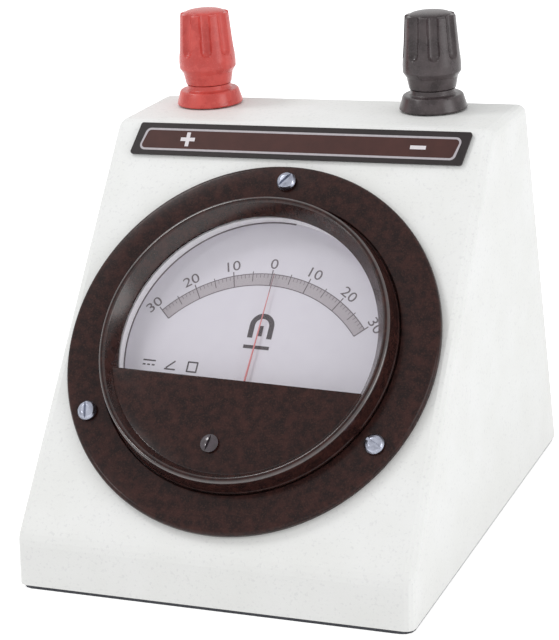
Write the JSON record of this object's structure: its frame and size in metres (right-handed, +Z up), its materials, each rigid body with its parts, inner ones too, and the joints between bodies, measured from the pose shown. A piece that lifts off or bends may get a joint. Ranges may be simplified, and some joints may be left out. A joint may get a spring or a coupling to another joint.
{
  "type": "moving coil galvanometer",
  "caption": "Bench galvanometer: sloping desk case with a round centre-zero meter, a slanted label strip and a red and a black screw terminal on top.",
  "frame": {"origin": "middle of the base plate's underside", "axes": "+X to the right seen from the front, +Y to the back, +Z up; the sloping panel faces -Y"},
  "size_m": [0.09, 0.1124, 0.111],
  "materials": {
    "case_white": "fine speckle, satin",
    "black_board": "matt",
    "label_brown": "satin",
    "phenolic": "polished",
    "window_glass": "clear",
    "dial_grey": "matt print",
    "bright_zinc": "bright plate",
    "soft_iron": "plain",
    "magnet_alloy": "ground",
    "brass": "plain",
    "aluminium": "plain",
    "copper_winding": "enamelled copper wire",
    "steel": "polished",
    "phosphor_bronze": "spring wire",
    "pointer_red": "lacquered tube",
    "red_plastic": "satin",
    "black_plastic": "satin",
    "red_sleeve": "wire sleeve",
    "black_sleeve": "wire sleeve"
  },
  "bodies": {
    "instrument": {"case_shell": "case_white", "base_plate": "black_board", "label_plate": "label_brown", "meter_housing": "phenolic", "meter_cover": "phenolic", "window_glass": "window_glass", "dial_plate": "dial_grey", "yoke_ring": "soft_iron", "core_magnet": "magnet_alloy", "core_clamp": "brass", "front_bridge": "brass", "rear_bridge": "brass", "front_jewel_screw": "brass", "rear_jewel_screw": "brass", "rear_hairspring": "phosphor_bronze", "base_screw_1": "bright_zinc", "base_screw_2": "bright_zinc", "base_screw_3": "bright_zinc", "base_screw_4": "bright_zinc", "meter_screw_1": "bright_zinc", "meter_nut_1": "bright_zinc", "meter_screw_2": "bright_zinc", "meter_nut_2": "bright_zinc", "meter_screw_3": "bright_zinc", "meter_nut_3": "bright_zinc", "dial_screw_1": "bright_zinc", "movement_screw_1": "bright_zinc", "meter_stud_1": "brass", "meter_stud_nut_1": "brass", "meter_tag_1": "bright_zinc", "dial_screw_2": "bright_zinc", "movement_screw_2": "bright_zinc", "meter_stud_2": "brass", "meter_stud_nut_2": "brass", "meter_tag_2": "bright_zinc", "red_collar": "red_plastic", "red_post": "brass", "red_nut": "bright_zinc", "red_tag": "bright_zinc", "red_lead": "red_sleeve", "black_collar": "black_plastic", "black_post": "brass", "black_nut": "bright_zinc", "black_tag": "bright_zinc", "black_lead": "black_sleeve"},
    "moving_coil": {"coil_former": "aluminium", "coil_winding": "copper_winding", "front_pivot": "steel", "rear_pivot": "steel", "pointer": "pointer_red", "balance_weight_left": "brass", "balance_weight_right": "brass", "balance_weight_tail": "brass"},
    "zero_lever": {"zero_lever": "brass", "front_hairspring": "phosphor_bronze"},
    "zero_adjuster": {"zero_adjuster": "black_plastic"},
    "red_insert": {"red_insert": "brass"},
    "red_knob": {"red_knob": "red_plastic"},
    "black_insert": {"black_insert": "brass"},
    "black_knob": {"black_knob": "black_plastic"}
  },
  "joints": [
    {"name": "pointer_swing", "type": "hinge", "parent": "instrument", "child": "moving_coil", "pos_m": [-0.00039, -0.03386, 0.03689], "axis": [0, 0.7624, -0.6471], "range_deg": [-54, 50], "stiffness_Nm_per_rad": 0.000012},
    {"name": "zero_adjuster_turn", "type": "hinge", "parent": "instrument", "child": "zero_adjuster", "pos_m": [-0.00242, -0.04026, 0.02934], "axis": [0, 0.7624, -0.6471], "range_deg": [-45, 45]},
    {"name": "zero_lever_swing", "type": "hinge", "parent": "instrument", "child": "zero_lever", "pos_m": [-0.00039, -0.03386, 0.03689], "axis": [0, 0.7624, -0.6471], "range_deg": [-4.45, 4.45]},
    {"name": "red_knob_lift", "type": "slide", "parent": "instrument", "child": "red_insert", "axis": [0, 0, 1], "range_m": [0, 0.0049]},
    {"name": "red_knob_turn", "type": "hinge", "parent": "red_insert", "child": "red_knob", "pos_m": [-0.0295, 0.02795, 0.0885], "axis": [0, 0, 1], "range_deg": [0, 2521]},
    {"name": "black_knob_lift", "type": "slide", "parent": "instrument", "child": "black_insert", "axis": [0, 0, 1], "range_m": [0, 0.0049]},
    {"name": "black_knob_turn", "type": "hinge", "parent": "black_insert", "child": "black_knob", "pos_m": [0.0256, 0.02795, 0.0885], "axis": [0, 0, 1], "range_deg": [0, 2521]}
  ],
  "couplings": [
    {"joint": "zero_lever_swing", "follows": "zero_adjuster_turn", "ratio": -0.0978},
    {"joint": "red_knob_turn", "follows": "red_knob_lift", "rad_per_m": 8976},
    {"joint": "black_knob_turn", "follows": "black_knob_lift", "rad_per_m": 8976}
  ]
}
